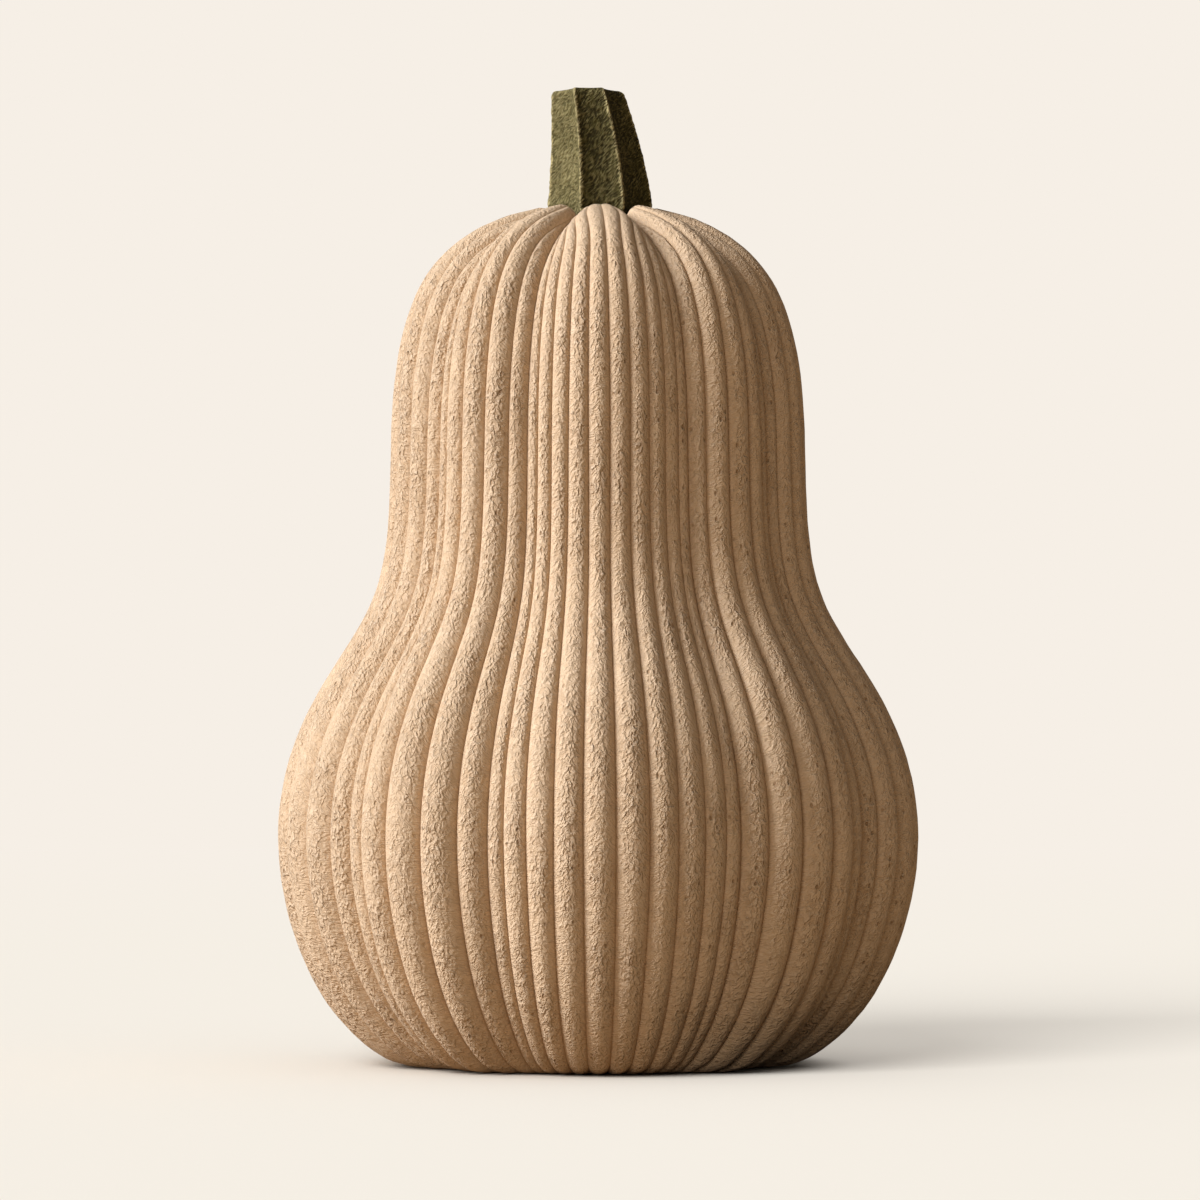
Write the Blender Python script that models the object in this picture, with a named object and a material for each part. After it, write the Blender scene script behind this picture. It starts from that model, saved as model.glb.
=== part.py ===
"""A butternut squash, standing on its blossom end.

Two pieces: the fruit, a neck and a bulb in one solid with its lobes and ribs raised from the
surface by a formula, and the cut stem that stands in the hollow at the top of the fruit.

The axis is +Z, the floor is z = 0, and the front faces -Y. An angle round the axis is 0 at the
front and grows towards +X.
"""

import math

import bpy
import numpy as np
from mathutils import Matrix

MM = 0.001

# The fruit's outer curve over the middle of a lobe, from the foot up to the rim round the stem:
# radius, height and how deep the clefts between the lobes lie there, all in millimetres
OUTLINE = (
    (40.0, 0.0, 0.3),  # edge of the flat foot
    (44.0, 0.6, 1.3),
    (51.2, 4.6, 2.4),
    (60.4, 14.7, 3.0),
    (68.1, 32.2, 3.4),
    (70.6, 50.0, 3.4),  # belly
    (68.0, 67.2, 3.3),
    (59.7, 84.7, 3.2),
    (49.6, 102.2, 3.0),
    (46.5, 119.7, 2.8),  # waist
    (46.0, 137.2, 2.8),  # neck
    (43.5, 159.0, 3.2),
    (38.1, 172.2, 3.8),  # shoulder
    (29.5, 180.7, 4.2),
    (20.4, 185.2, 4.0),
    (13.7, 187.0, 3.6),  # rim
)
CURVE_SAMPLES = 40  # between two of these points
OUTLINE_BANDS = 24
BEND_WEIGHT = 26 * MM  # how much closer the rings lie where the outline bends

# The lobes, going round from the cleft at the front left: width in degrees, number of ribs
LOBES = (
    (47.8, 10),
    (31.0, 5),
    (40.0, 6),
    (34.0, 6),
    (36.0, 7),
    (33.0, 6),
    (35.0, 6),
    (29.0, 5),
    (42.0, 6),
    (32.2, 5),
)
FIRST_CLEFT = -20.5  # degrees
LOBE_ROUND = 2.0  # the power that rounds a lobe, 2 for a parabola
LOBE_TURN = math.radians(60)  # ribs narrow towards a cleft as if the lobe turned this far
RIB_RISE = 0.20  # of a rib's width
RIB_SHOULDERS = (0.29, 0.71)  # across a rib, where its flat top begins and ends

# The underside: a flat foot round a shallow dimple with the blossom scar
FOOT_INNER = 25 * MM
SCAR_RADIUS = 11 * MM
SCAR_RISE = 1.2 * MM

# The socket at the top that the stem stands in
SOCKET_FLOOR = 178 * MM
SOCKET_LIP = 2.6 * MM  # how far below the rim the flesh meets the stem
LIP_ROLL = 0.65 * MM
SOCKET_GAP = 0.35 * MM

# The stem: its foot, where it leaves the rim, and the cut at its top
STEM_FOOT = SOCKET_FLOOR + SOCKET_GAP
STEM_RIM = 188 * MM
STEM_TOP = 213.0 * MM
FOOT_REACH = 10.6 * MM
RIM_REACH = 12.0 * MM
TOP_REACH = 8.2 * MM
STEM_SWELL = 0.85  # the power that fills out the taper
STEM_SHIFT = 0.6 * MM  # along X from the fruit's axis to the stem's foot
STEM_LEAN = -2.8 * MM  # from there along X to the cut
LEAN_POWER = 1.7
STEM_RIDGES = (-88.0, -22.0, 27.0, 88.0, 152.0, 210.0)  # degrees
FACE_STEPS = (0.07, 0.25, 0.5, 0.75, 0.93)  # from one ridge to the next
FACE_HOLLOW = 0.05  # of a face's width
CUT_ROUND = 0.9 * MM
CUT_BREAK = 0.3  # of the rounding, where it turns steepest
STEM_RINGS = 9

SKIN_TAN = (0.60, 0.41, 0.24, 1.0)
SKIN_ROUGHNESS = 0.85
STEM_OLIVE = (0.085, 0.080, 0.030, 1.0)
STEM_ROUGHNESS = 0.9
SHARP_ANGLE = math.radians(35)


def clear_scene():
    for thing in list(bpy.data.objects):
        bpy.data.objects.remove(thing, do_unlink=True)


def matte(name, colour, roughness):
    material = bpy.data.materials.new(name)
    material.use_nodes = True
    shader = material.node_tree.nodes["Principled BSDF"]
    shader.inputs["Base Color"].default_value = colour
    shader.inputs["Roughness"].default_value = roughness
    shader.inputs["Metallic"].default_value = 0.0
    material.diffuse_color = colour
    return material


def smooth_curve(points):
    """Closely spaced samples of a natural cubic spline through the points, by chord length."""
    chords = np.linalg.norm(np.diff(points[:, :2], axis=0), axis=1)
    count = len(points)
    system = np.eye(count)
    sides = np.zeros_like(points)
    for i in range(1, count - 1):
        before, after = chords[i - 1], chords[i]
        system[i, i - 1 : i + 2] = before, 2 * (before + after), after
        slope_in = (points[i] - points[i - 1]) / before
        slope_out = (points[i + 1] - points[i]) / after
        sides[i] = 6 * (slope_out - slope_in)
    bends = np.linalg.solve(system, sides)
    samples = []
    for i, span in enumerate(chords):
        for right in np.arange(CURVE_SAMPLES) / CURVE_SAMPLES:
            left = 1 - right
            pull = (left**3 - left) * bends[i] + (right**3 - right) * bends[i + 1]
            samples.append(left * points[i] + right * points[i + 1] + pull * span**2 / 6)
    return np.array(samples + [points[-1]])


def ring_stations(curve):
    """Which samples carry a ring: evenly spaced ones, but closer together where it bends."""
    steps = np.diff(curve[:, :2], axis=0)
    lengths = np.linalg.norm(steps, axis=1)
    headings = np.unwrap(np.arctan2(steps[:, 1], steps[:, 0]))
    turns = np.abs(np.diff(headings, append=headings[-1]))
    cost = np.concatenate([[0.0], np.cumsum(lengths + BEND_WEIGHT * turns)])
    wanted = np.linspace(0, cost[-1], OUTLINE_BANDS + 1)
    return [int(np.argmin(np.abs(cost - value))) for value in wanted]


def outward(curve, i):
    """The unit vector (radial, up) square to the curve at sample i, pointing out of the fruit."""
    before, after = curve[max(i - 1, 0)], curve[min(i + 1, len(curve) - 1)]
    run, rise = (after - before)[:2]
    length = math.hypot(run, rise)
    return rise / length, -run / length


def fruit_section():
    """For each point round the fruit: its angle, its place in its lobe from -1 to 1, the width
    of its rib in radians, and its share of the rib's rise."""
    across_rib = [(0.0, 0.0)] + [(shoulder, 1.0) for shoulder in RIB_SHOULDERS]
    section = []
    cleft = math.radians(FIRST_CLEFT)
    for width, ribs in LOBES:
        half = math.radians(width) / 2

        def place_at(step):
            return math.sin((2 * step / ribs - 1) * LOBE_TURN) / math.sin(LOBE_TURN)

        for rib in range(ribs):
            rib_width = half * (place_at(rib + 1) - place_at(rib))
            for across, rise in across_rib:
                place = place_at(rib + across)
                section.append((cleft + half * (1 + place), place, rib_width, rise))
        cleft += 2 * half
    return section


def turned(radius, angle, height):
    return (radius * math.sin(angle), -radius * math.cos(angle), height)


def plain_ring(section, radius, height):
    return [turned(radius, angle, height) for angle, *_ in section]


def ribbed_ring(section, radius, height, cleft, normal):
    """One ring of the ribbed surface. The relief goes inwards, square to the outline."""
    widest = max(width for _, _, width, _ in section)
    ring = []
    for angle, place, width, rise in section:
        rib_sink = RIB_RISE * radius * (widest - width * rise)
        sink = rib_sink + cleft * abs(place) ** LOBE_ROUND
        ring.append(turned(radius - sink * normal[0], angle, height - sink * normal[1]))
    return ring


def socket_ring(section, height, stem_height):
    """A ring that follows the stem's skin as it is at stem_height, with the gap added."""
    ring = []
    for angle, *_ in section:
        x, y, z = turned(socket_radius(angle, stem_height), angle, height)
        ring.append((x + STEM_SHIFT, y, z))
    return ring


def socket_radius(angle, height):
    """How far out the stem's skin lies in the direction of angle, with the gap added."""
    first = STEM_RIDGES[0]
    turn = (math.degrees(angle) - first) % 360 + first
    ridges = (*STEM_RIDGES, first + 360)
    ridge = max(i for i in range(len(STEM_RIDGES)) if ridges[i] <= turn)
    across = (turn - ridges[ridge]) / (ridges[ridge + 1] - ridges[ridge])
    return stem_reach(height) * math.hypot(*stem_face_point(ridge, across)) + SOCKET_GAP


def socket_rings(section, rim):
    """From the rim in to the stem and down its side to the socket's floor."""
    at_rim = socket_ring(section, 0.0, STEM_RIM)
    lip = [(x, y, z - SOCKET_LIP) for (x, y, _), (_, _, z) in zip(at_rim, rim)]
    roll = [
        ((outer[0] + inner[0]) / 2, (outer[1] + inner[1]) / 2, outer[2] - LIP_ROLL)
        for outer, inner in zip(rim, lip)
    ]
    return [roll, lip, socket_ring(section, SOCKET_FLOOR, STEM_FOOT)]


def stem_reach(height):
    """How far the stem's ridges reach from its centre line."""
    if height < STEM_RIM:
        up = (height - STEM_FOOT) / (STEM_RIM - STEM_FOOT)
        return FOOT_REACH + (RIM_REACH - FOOT_REACH) * up
    down = (STEM_TOP - height) / (STEM_TOP - STEM_RIM)
    return TOP_REACH + (RIM_REACH - TOP_REACH) * down**STEM_SWELL


def stem_centre(height):
    up = max(0.0, (height - STEM_RIM) / (STEM_TOP - STEM_RIM))
    return STEM_SHIFT + STEM_LEAN * up**LEAN_POWER


def stem_face_point(ridge, across):
    """A point on a hollow face of the stem's section, whose ridges are at radius 1."""
    first = math.radians(STEM_RIDGES[ridge])
    second = math.radians(STEM_RIDGES[(ridge + 1) % len(STEM_RIDGES)])
    start = np.array((math.sin(first), -math.cos(first)))
    chord = np.array((math.sin(second), -math.cos(second))) - start
    inward = np.array((-chord[1], chord[0]))
    return start + chord * across + inward * FACE_HOLLOW * 4 * across * (1 - across)


def stem_section():
    ridges = range(len(STEM_RIDGES))
    return [stem_face_point(ridge, across) for ridge in ridges for across in FACE_STEPS]


def stem_ring(section, height, inset=0.0):
    reach = stem_reach(height) - inset
    return [(stem_centre(height) + reach * x, reach * y, height) for x, y in section]


def closed_mesh(name, rings):
    """Stacked rings of equal length joined by quads, with the first and the last one capped."""
    count = len(rings[0])
    corners = [point for ring in rings for point in ring]
    faces = [tuple(reversed(range(count)))]
    for band in range(len(rings) - 1):
        low, high = band * count, (band + 1) * count
        for i in range(count):
            j = (i + 1) % count
            faces.append((low + i, low + j, high + j, high + i))
    faces.append(tuple(range(len(corners) - count, len(corners))))
    mesh = bpy.data.meshes.new(name)
    mesh.from_pydata(corners, [], faces)
    mesh.validate()
    return mesh


def add_object(name, rings, material):
    mesh = closed_mesh(name, rings)
    mesh.materials.append(material)
    mesh.shade_smooth()
    mesh.set_sharp_from_angle(angle=SHARP_ANGLE)
    thing = bpy.data.objects.new(name, mesh)
    bpy.context.scene.collection.objects.link(thing)
    return thing


def add_fruit():
    section = fruit_section()
    curve = smooth_curve(np.array(OUTLINE) * MM)
    foot_outer = OUTLINE[0][0] * MM
    rings = [
        plain_ring(section, SCAR_RADIUS, SCAR_RISE),
        plain_ring(section, FOOT_INNER, 0.0),
        plain_ring(section, foot_outer, 0.0),
    ]
    for i in ring_stations(curve)[1:]:
        rings.append(ribbed_ring(section, *curve[i], outward(curve, i)))
    rings += socket_rings(section, rings[-1])
    return add_object("fruit", rings, matte("skin", SKIN_TAN, SKIN_ROUGHNESS))


def add_stem():
    section = stem_section()
    heights = [STEM_FOOT, *np.linspace(STEM_RIM, STEM_TOP - CUT_ROUND, STEM_RINGS)]
    rings = [stem_ring(section, height) for height in heights]
    for inset in (CUT_ROUND * CUT_BREAK, CUT_ROUND):
        height = STEM_TOP - (CUT_ROUND - inset) * CUT_BREAK
        rings.append(stem_ring(section, height, inset))
    return add_object("stem", rings, matte("stem_bark", STEM_OLIVE, STEM_ROUGHNESS))


def centre_over_origin(things, widest):
    """Moves every mesh alike, so that the origin is under the middle of the widest one's box.
    The lobes reach a little further on one side."""
    corners = np.array([corner.co for corner in widest.data.vertices])
    middle = (corners.min(axis=0) + corners.max(axis=0)) / 2
    shift = Matrix.Translation((-middle[0], -middle[1], 0.0))
    for thing in things:
        thing.data.transform(shift)


def main():
    clear_scene()
    fruit, stem = add_fruit(), add_stem()
    centre_over_origin((fruit, stem), fruit)


main()
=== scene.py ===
import math

import bpy
import numpy as np
from bpy.props import FloatProperty, FloatVectorProperty, IntProperty, PointerProperty
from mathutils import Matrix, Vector, noise


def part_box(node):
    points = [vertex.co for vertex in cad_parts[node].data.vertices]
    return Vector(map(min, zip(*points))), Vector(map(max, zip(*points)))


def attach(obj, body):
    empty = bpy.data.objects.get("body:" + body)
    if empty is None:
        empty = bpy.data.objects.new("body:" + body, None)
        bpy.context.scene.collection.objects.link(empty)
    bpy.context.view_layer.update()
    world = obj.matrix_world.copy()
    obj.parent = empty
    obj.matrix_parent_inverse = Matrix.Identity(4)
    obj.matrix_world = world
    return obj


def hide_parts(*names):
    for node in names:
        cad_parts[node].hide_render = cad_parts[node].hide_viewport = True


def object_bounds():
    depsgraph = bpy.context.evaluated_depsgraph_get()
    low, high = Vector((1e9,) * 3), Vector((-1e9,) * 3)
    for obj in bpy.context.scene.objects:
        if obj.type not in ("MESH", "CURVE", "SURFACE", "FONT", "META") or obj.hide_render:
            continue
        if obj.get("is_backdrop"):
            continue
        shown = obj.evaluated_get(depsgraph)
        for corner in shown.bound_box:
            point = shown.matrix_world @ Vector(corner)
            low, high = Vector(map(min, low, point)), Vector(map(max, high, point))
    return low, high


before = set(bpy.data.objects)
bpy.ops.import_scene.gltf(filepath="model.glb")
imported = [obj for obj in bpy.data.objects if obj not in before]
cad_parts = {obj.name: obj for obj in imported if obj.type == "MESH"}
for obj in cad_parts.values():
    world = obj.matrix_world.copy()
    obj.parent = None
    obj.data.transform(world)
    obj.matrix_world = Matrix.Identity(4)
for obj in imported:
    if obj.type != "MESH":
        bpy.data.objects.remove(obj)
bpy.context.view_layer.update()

bl_info = {
    "name": "Butternut Squash",
    "version": (1, 0, 0),
    "blender": (4, 5, 0),
    "location": "3D View > Sidebar > Squash",
    "description": "Grows a ribbed butternut squash with its cut stem and sets it in a pale studio",
    "category": "Add Mesh",
}

MM = 0.001

# The fruit's outer curve over the middle of a lobe, from the foot up to the rim round the stem:
# radius, height and how deep the clefts between the lobes lie there, all in millimetres
OUTLINE = (
    (40.0, 0.0, 0.3),  # edge of the flat foot
    (44.0, 0.6, 1.3),
    (51.2, 4.6, 2.4),
    (60.4, 14.7, 3.0),
    (68.1, 32.2, 3.4),
    (70.6, 50.0, 3.4),  # belly
    (68.0, 67.2, 3.3),
    (59.7, 84.7, 3.2),
    (49.6, 102.2, 3.0),
    (46.5, 119.7, 2.8),  # waist
    (46.0, 137.2, 2.8),  # neck
    (43.5, 159.0, 3.2),
    (38.1, 172.2, 3.8),  # shoulder
    (29.5, 180.7, 4.2),
    (20.4, 185.2, 4.0),
    (13.7, 187.0, 3.6),  # rim
)
CURVE_SAMPLES = 60  # between two of these points
BEND_WEIGHT = 10 * MM  # how much closer the rings lie where the outline bends

# The lobes, going round from the cleft at the front left: width in degrees, number of ribs
LOBES = (
    (47.8, 10),
    (31.0, 5),
    (40.0, 6),
    (34.0, 6),
    (36.0, 7),
    (33.0, 6),
    (35.0, 6),
    (29.0, 5),
    (42.0, 6),
    (32.2, 5),
)
FIRST_CLEFT = -20.5  # degrees
LOBE_ROUND = 2.0  # the power that rounds a lobe, 2 for a parabola
LOBE_TURN = math.radians(60)  # ribs narrow towards a cleft as if the lobe turned this far
CREST_DROP = 0.20  # how much lower a narrow rib's crest lies, over what it lacks in width
SKIN_INSET = 0.03 * MM  # keeps the widest crests inside the plain solid's size
WAVER_LENGTH = 45 * MM  # along a groove, over which it wanders

# Near the rim the lobes are fuller, their outer ribs dive into the clefts, and ribs are lower
RIM_FADE = (39 * MM, 15 * MM)  # the radii where that begins and where it is complete
RIM_SPREAD = 1.9  # how strongly the outer ribs are pressed together
RIM_RIB_LOSS = 0.2  # of a rib's height

# The underside and the socket that the stem stands in
FOOT_FADE = (34 * MM, 42 * MM)  # the radii between which the ribs' relief grows
FOOT_RELIEF = 0.2  # of the ribs' relief, on the foot
SCAR_RADIUS = 11 * MM
SCAR_RISE = 1.2 * MM
FOOT_INNER = 25 * MM
SOCKET_FLOOR = 178 * MM
SOCKET_LIP = 2.6 * MM  # how far below the rim the flesh meets the stem
SOCKET_GAP = 0.2 * MM
SOCKET_ROUND = math.radians(3.2)  # how widely the socket's corners are rounded off
LIP_POINTS = 8  # on the roll from the rim to the lip

# The stem
STEM_FOOT = SOCKET_FLOOR + 0.35 * MM
STEM_RIM = 188 * MM
STEM_TOP = 213.0 * MM
FOOT_REACH = 10.6 * MM
RIM_REACH = 12.0 * MM
TOP_REACH = 8.2 * MM
STEM_SWELL = 0.85  # the power that fills out the taper
STEM_SHIFT = 0.6 * MM  # along X from the fruit's axis to the stem's foot
STEM_LEAN = -2.8 * MM  # from there along X to the cut
LEAN_POWER = 1.7
STEM_RIDGES = (-88.0, -22.0, 27.0, 88.0, 152.0, 210.0)  # degrees
FACE_HOLLOW = 0.065  # of a face's width
CORD_WIDTH = 3.4  # degrees
STEM_COLUMNS = 240
CUT_ROUND = 1.0 * MM
CUT_RINGS = 14
CUT_SINK = 0.25 * MM  # of the wood inside the cut's edge
PITH_SINK = 0.7 * MM  # of the pith below that wood

# The place of the picture's middle along X
AIM_SHIFT = 0.28 * MM


class FruitSettings(bpy.types.PropertyGroup):
    """Sizes and colours of the fruit"""

    columns_per_rib: IntProperty(
        name="Columns per rib", description="How finely each rib is modelled", default=12, min=4
    )
    rings: IntProperty(
        name="Rings", description="Rings from the foot to the rim", default=102, min=20
    )
    rib_turn: FloatProperty(
        name="Rib turn",
        description="How far a rib's arc turns away from its crest on each side",
        default=math.radians(58),
        subtype="ANGLE",
    )
    rib_waver: FloatProperty(
        name="Rib waver",
        description="How far a groove wanders to either side",
        default=0.0045,
        subtype="ANGLE",
    )
    lump_rise: FloatProperty(
        name="Lump rise",
        description="Height of the broad lumps along the ribs",
        default=0.00028,
        unit="LENGTH",
        precision=5,
    )
    grain_length: FloatProperty(
        name="Grain length", description="Length of a stroke, in mm", default=1.6
    )
    grain_width: FloatProperty(
        name="Grain width", description="Width of a stroke, in mm", default=0.5
    )
    grain_slant: FloatProperty(
        name="Grain slant",
        description="How steeply the strokes climb towards a rib's crest",
        default=math.radians(62),
        subtype="ANGLE",
    )
    skin_colour: FloatVectorProperty(
        name="Skin",
        description="Colour of the skin",
        default=(0.60, 0.412, 0.243),
        subtype="COLOR",
    )
    # painted highlight on the raised grain, and the pale end of the skin's random mottle
    highlight_and_pale_colour: FloatVectorProperty(
        name="Raised strokes",
        description="Colour where the grain is raised",
        default=(0.68, 0.50, 0.33),
        subtype="COLOR",
    )
    # painted shade in the pits, grooves and creases, and the blossom scar's own darker colour
    shade_and_scar_colour: FloatVectorProperty(
        name="Pits and grooves",
        description="Colour deep in the pits and the grooves",
        default=(0.40, 0.235, 0.115),
        subtype="COLOR",
    )
    roughness: FloatProperty(
        name="Roughness", description="Roughness of the skin", default=0.82, min=0, max=1
    )


class StemSettings(bpy.types.PropertyGroup):
    """Sizes and colours of the stem"""

    rings: IntProperty(name="Rings", description="Rings along the stem", default=110, min=20)
    ridge_round: FloatProperty(
        name="Ridge rounding",
        description="How widely a ridge is rounded off",
        default=math.radians(1.6),
        subtype="ANGLE",
    )
    ridge_cord: FloatProperty(
        name="Ridge cord",
        description="How far a ridge stands out as a cord, over the stem's reach",
        default=0.045,
    )
    bark_lump: FloatProperty(
        name="Bark lumps",
        description="Height of the bark's lumps",
        default=0.00022,
        unit="LENGTH",
        precision=5,
    )
    bark_colour: FloatVectorProperty(
        name="Bark",
        description="Colour of the bark",
        default=(0.074, 0.060, 0.015),
        subtype="COLOR",
    )
    # painted shade deep between the bark's fibres
    crevice_shade_colour: FloatVectorProperty(
        name="Crevices",
        description="Colour deep between the bark's fibres",
        default=(0.018, 0.013, 0.004),
        subtype="COLOR",
    )
    # also the pale colour of the painted key light on the stem's left face
    ridge_and_lit_colour: FloatVectorProperty(
        name="Ridges",
        description="Colour along the dry ridges",
        default=(0.40, 0.323, 0.148),
        subtype="COLOR",
    )
    cut_colour: FloatVectorProperty(
        name="Cut face",
        description="Colour of the dry cut at the top",
        default=(0.34, 0.27, 0.145),
        subtype="COLOR",
    )
    pith_colour: FloatVectorProperty(
        name="Pith",
        description="Colour of the pith and of the cut's fibres",
        default=(0.16, 0.115, 0.05),
        subtype="COLOR",
    )
    roughness: FloatProperty(
        name="Roughness", description="Roughness of the bark", default=0.8, min=0, max=1
    )


class StageSettings(bpy.types.PropertyGroup):
    """The floor, the light and the camera"""

    backdrop_colour: FloatVectorProperty(
        name="Backdrop",
        description="Colour behind the squash",
        default=(0.922, 0.863, 0.791),
        subtype="COLOR",
    )
    floor_colour: FloatVectorProperty(
        name="Floor",
        description="Colour of the floor",
        default=(0.82, 0.785, 0.715),
        subtype="COLOR",
    )
    sky_strength: FloatProperty(
        name="Floor sky", description="Strength of the wide soft light on the floor", default=1.19
    )
    sky_softness: FloatProperty(
        name="Floor sky softness",
        description="How wide the soft light above the floor looks",
        default=math.radians(120),
        subtype="ANGLE",
    )
    shadow_strength: FloatProperty(
        name="Floor key", description="Strength of the floor's own key light", default=3.9
    )
    shadow_elevation: FloatProperty(
        name="Floor key elevation",
        description="How high the floor's own key light stands",
        default=math.radians(26),
        subtype="ANGLE",
    )
    front_strength: FloatProperty(
        name="Front light", description="Strength of the soft light from the front", default=0.84
    )
    front_azimuth: FloatProperty(
        name="Front azimuth",
        description="Where the front light stands, round from the front towards +X",
        default=math.radians(-20),
        subtype="ANGLE",
    )
    front_elevation: FloatProperty(
        name="Front elevation",
        description="How high the front light stands",
        default=math.radians(5),
        subtype="ANGLE",
    )
    front_softness: FloatProperty(
        name="Front softness",
        description="How wide the front light looks from the squash",
        default=math.radians(25),
        subtype="ANGLE",
    )
    bounce_colour: FloatVectorProperty(
        name="Bounce",
        description="Colour of the floor as it lights the squash from below",
        default=(0.35, 0.25, 0.15),
        subtype="COLOR",
    )
    key_strength: FloatProperty(
        name="Key light", description="Strength of the key light", default=5.0
    )
    key_colour: FloatVectorProperty(
        name="Key colour",
        description="Colour of the key light",
        default=(1.0, 1.07, 1.20),
        subtype="COLOR",
    )
    key_azimuth: FloatProperty(
        name="Key azimuth",
        description="Where the key light stands, round from the front towards +X",
        default=math.radians(-76),
        subtype="ANGLE",
    )
    key_elevation: FloatProperty(
        name="Key elevation",
        description="How high the key light stands",
        default=math.radians(29),
        subtype="ANGLE",
    )
    key_softness: FloatProperty(
        name="Key softness",
        description="How wide the key light looks from the squash",
        default=math.radians(38),
        subtype="ANGLE",
    )
    shadow_azimuth: FloatProperty(
        name="Shadow azimuth",
        description="Where the floor's own key light stands, round from the front towards +X",
        default=math.radians(-28),
        subtype="ANGLE",
    )
    shadow_softness: FloatProperty(
        name="Shadow softness",
        description="How wide the floor's own key light looks",
        default=math.radians(38),
        subtype="ANGLE",
    )
    fill_strength: FloatProperty(
        name="Fill light", description="Strength of the light from all round", default=0.19
    )
    fill_colour: FloatVectorProperty(
        name="Fill colour",
        description="Colour of the light from all round",
        default=(1.0, 0.92, 0.84),
        subtype="COLOR",
    )
    camera_distance: FloatProperty(
        name="Camera distance",
        description="From the squash's axis",
        default=1.08,
        unit="LENGTH",
    )
    camera_height: FloatProperty(
        name="Camera height", description="Above the floor", default=0.067, unit="LENGTH"
    )
    aim_height: FloatProperty(
        name="Aim height",
        description="Height of the picture's middle",
        default=0.1013,
        unit="LENGTH",
    )
    picture_width: FloatProperty(
        name="Picture width",
        description="How wide the picture is at the axis",
        default=0.2625,
        unit="LENGTH",
    )


class Sum:
    """A shader socket that can stand in a Python sum. Each operator adds its Math node."""

    def __init__(self, finish, socket):
        self.finish = finish
        self.socket = socket

    def math(self, operation, *values, swap=False):
        pair = (*values, self) if swap else (self, *values)
        return self.finish.add(
            "ShaderNodeMath", {"operation": operation}, dict(enumerate(pair))
        )

    def __add__(self, other):
        return self.math("ADD", other)

    def __sub__(self, other):
        return self.math("SUBTRACT", other)

    def __rsub__(self, other):
        return self.math("SUBTRACT", other, swap=True)

    def __mul__(self, other):
        return self.math("MULTIPLY", other)

    def __truediv__(self, other):
        return self.math("DIVIDE", other)

    def __abs__(self):
        return self.math("ABSOLUTE")

    __radd__ = __add__
    __rmul__ = __mul__

    def step(self, low, high):
        """0 below low, 1 above high, and smooth between. low may be the greater one."""
        return self.finish.add(
            "ShaderNodeMapRange",
            {"interpolation_type": "SMOOTHSTEP"},
            {"Value": self, "From Min": low, "From Max": high},
        )


class Finish:
    """A material and the nodes that make it."""

    def __init__(self, name, roughness):
        self.material = bpy.data.materials.new(name)
        self.material.use_nodes = True
        self.tree = self.material.node_tree
        self.shader = self.tree.nodes["Principled BSDF"]
        self.shader.inputs["Roughness"].default_value = roughness

    def put(self, socket, value):
        if isinstance(value, Sum):
            self.tree.links.new(value.socket, socket)
        elif socket.type == "RGBA":
            socket.default_value = (*value, 1.0)
        else:
            socket.default_value = value

    def add(self, kind, settings=None, inputs=None, output=0):
        """A node of this type, with its settings, then its sockets' values or links."""
        node = self.tree.nodes.new(kind)
        for key, value in (settings or {}).items():
            setattr(node, key, value)
        for key, value in (inputs or {}).items():
            self.put(node.inputs[key], value)
        return Sum(self, node.outputs[output])

    def stored(self, name):
        """The three numbers that the mesh keeps under this name."""
        kept = self.add("ShaderNodeAttribute", {"attribute_name": name}, output="Vector")
        return self.split(kept)

    def split(self, vector):
        """A vector's three numbers."""
        outputs = self.add("ShaderNodeSeparateXYZ", inputs={0: vector}).socket.node.outputs
        return [Sum(self, outputs[axis]) for axis in "XYZ"]

    def vector(self, x, y, z):
        return self.add("ShaderNodeCombineXYZ", inputs={"X": x, "Y": y, "Z": z})

    def noise(self, vector, scale=1.0, detail=2.0, roughness=0.5, distortion=0.0):
        return self.add(
            "ShaderNodeTexNoise",
            inputs={
                "Vector": vector,
                "Scale": scale,
                "Detail": detail,
                "Roughness": roughness,
                "Distortion": distortion,
            },
        )

    def cells(self, vector):
        """Distance to the nearest of scattered points, and a random number for each."""
        distance = self.add("ShaderNodeTexVoronoi", inputs={"Vector": vector, "Scale": 1.0})
        colour = Sum(self, distance.socket.node.outputs["Color"])
        chance = self.add("ShaderNodeSeparateColor", inputs={0: colour})
        return distance, chance

    def mix(self, share, first, second):
        """Two colours mixed by share."""
        return self.add(
            "ShaderNodeMix",
            {"data_type": "RGBA"},
            {"Factor": share, 6: first, 7: second},
            output=2,
        )

    def blend(self, share, first, second):
        """Two numbers mixed by share."""
        return first + (second - first) * share

    def bump(self, height, distance):
        return self.add("ShaderNodeBump", inputs={"Height": height, "Distance": distance})

    def finish(self, colour, normal, roughness=None):
        self.put(self.shader.inputs["Base Color"], colour)
        self.put(self.shader.inputs["Normal"], normal)
        if roughness is not None:
            self.put(self.shader.inputs["Roughness"], roughness)
        return self.material


def smooth_curve(points):
    """Closely spaced samples of a natural cubic spline through the points, by chord length."""
    chords = np.linalg.norm(np.diff(points[:, :2], axis=0), axis=1)
    count = len(points)
    system = np.eye(count)
    sides = np.zeros_like(points)
    for i in range(1, count - 1):
        before, after = chords[i - 1], chords[i]
        system[i, i - 1 : i + 2] = before, 2 * (before + after), after
        slope_in = (points[i] - points[i - 1]) / before
        slope_out = (points[i + 1] - points[i]) / after
        sides[i] = 6 * (slope_out - slope_in)
    bends = np.linalg.solve(system, sides)
    samples = []
    for i, span in enumerate(chords):
        for right in np.arange(CURVE_SAMPLES) / CURVE_SAMPLES:
            left = 1 - right
            pull = (left**3 - left) * bends[i] + (right**3 - right) * bends[i + 1]
            samples.append(left * points[i] + right * points[i + 1] + pull * span**2 / 6)
    return np.array(samples + [points[-1]])


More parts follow.
